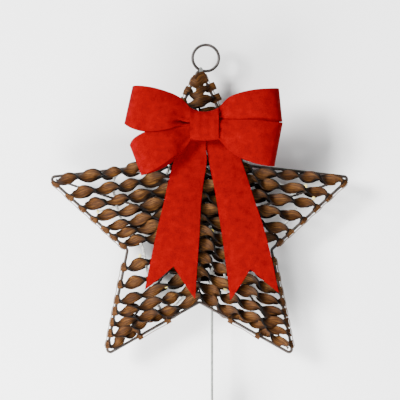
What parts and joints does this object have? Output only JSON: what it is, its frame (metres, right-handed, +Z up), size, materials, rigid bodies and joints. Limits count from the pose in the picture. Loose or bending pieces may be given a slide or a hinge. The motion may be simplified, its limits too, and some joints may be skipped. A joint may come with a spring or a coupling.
{
  "type": "lighted star ornament",
  "caption": "Five-pointed hanging star of dark wire wound with twisted wood strips, raised at the middle, with lights inside, a ribbon bow at the top and a lead below.",
  "frame": {"origin": "where the inside top of the hanging ring bears on its pin", "axes": "+Z up, +X to the right of someone who faces the star, -Y out of its front face"},
  "size_m": [0.3048, 0.0774, 0.4799],
  "materials": {
    "dark_wire": "dark brown coated wire",
    "wood_veneer": "thin stained wood veneer, matt",
    "red_felt": "bright red felt ribbon",
    "clear_cord": "clear plastic covered wire",
    "clear_tie": "clear plastic tie",
    "plug_plastic": "pale moulded plastic",
    "plug_metal": "plain metal blade"
  },
  "bodies": {
    "root": {"star_outline": "dark_wire", "front_spokes": "dark_wire", "back_spokes": "dark_wire", "hang_ring": "dark_wire", "front_strip_01": "wood_veneer", "front_strip_02": "wood_veneer", "front_strip_03": "wood_veneer", "front_strip_04": "wood_veneer", "front_strip_05": "wood_veneer", "front_strip_06": "wood_veneer", "front_strip_07": "wood_veneer", "front_strip_08": "wood_veneer", "front_strip_09": "wood_veneer", "front_strip_10": "wood_veneer", "front_strip_11": "wood_veneer", "front_strip_12": "wood_veneer", "back_strip_01": "wood_veneer", "back_strip_02": "wood_veneer", "back_strip_03": "wood_veneer", "back_strip_04": "wood_veneer", "back_strip_05": "wood_veneer", "back_strip_06": "wood_veneer", "back_strip_07": "wood_veneer", "back_strip_08": "wood_veneer", "back_strip_09": "wood_veneer", "back_strip_10": "wood_veneer", "back_strip_11": "wood_veneer", "back_strip_12": "wood_veneer", "left_leg_strip_1": "wood_veneer", "left_leg_strip_2": "wood_veneer", "right_leg_strip_1": "wood_veneer", "right_leg_strip_2": "wood_veneer", "top_arm_strip_1": "wood_veneer", "top_arm_strip_2": "wood_veneer", "top_arm_strip_3": "wood_veneer", "top_arm_strip_4": "wood_veneer", "top_arm_strip_5": "wood_veneer", "top_arm_strip_6": "wood_veneer", "top_arm_strip_7": "wood_veneer", "bow_knot": "red_felt", "bow_loop_upper_left": "red_felt", "bow_loop_lower_left": "red_felt", "bow_loop_upper_right": "red_felt", "bow_loop_lower_right": "red_felt", "bow_tail_left": "red_felt", "bow_tail_right": "red_felt", "light_string": "clear_cord", "lead_sleeve": "clear_cord", "lead": "clear_cord", "lead_coil": "clear_cord", "coil_tie": "clear_cord", "lead_tail": "clear_cord", "ring_tie": "clear_tie", "plug_body": "plug_plastic", "plug_blade_left": "plug_metal", "plug_blade_right": "plug_metal"}
  },
  "joints": []
}
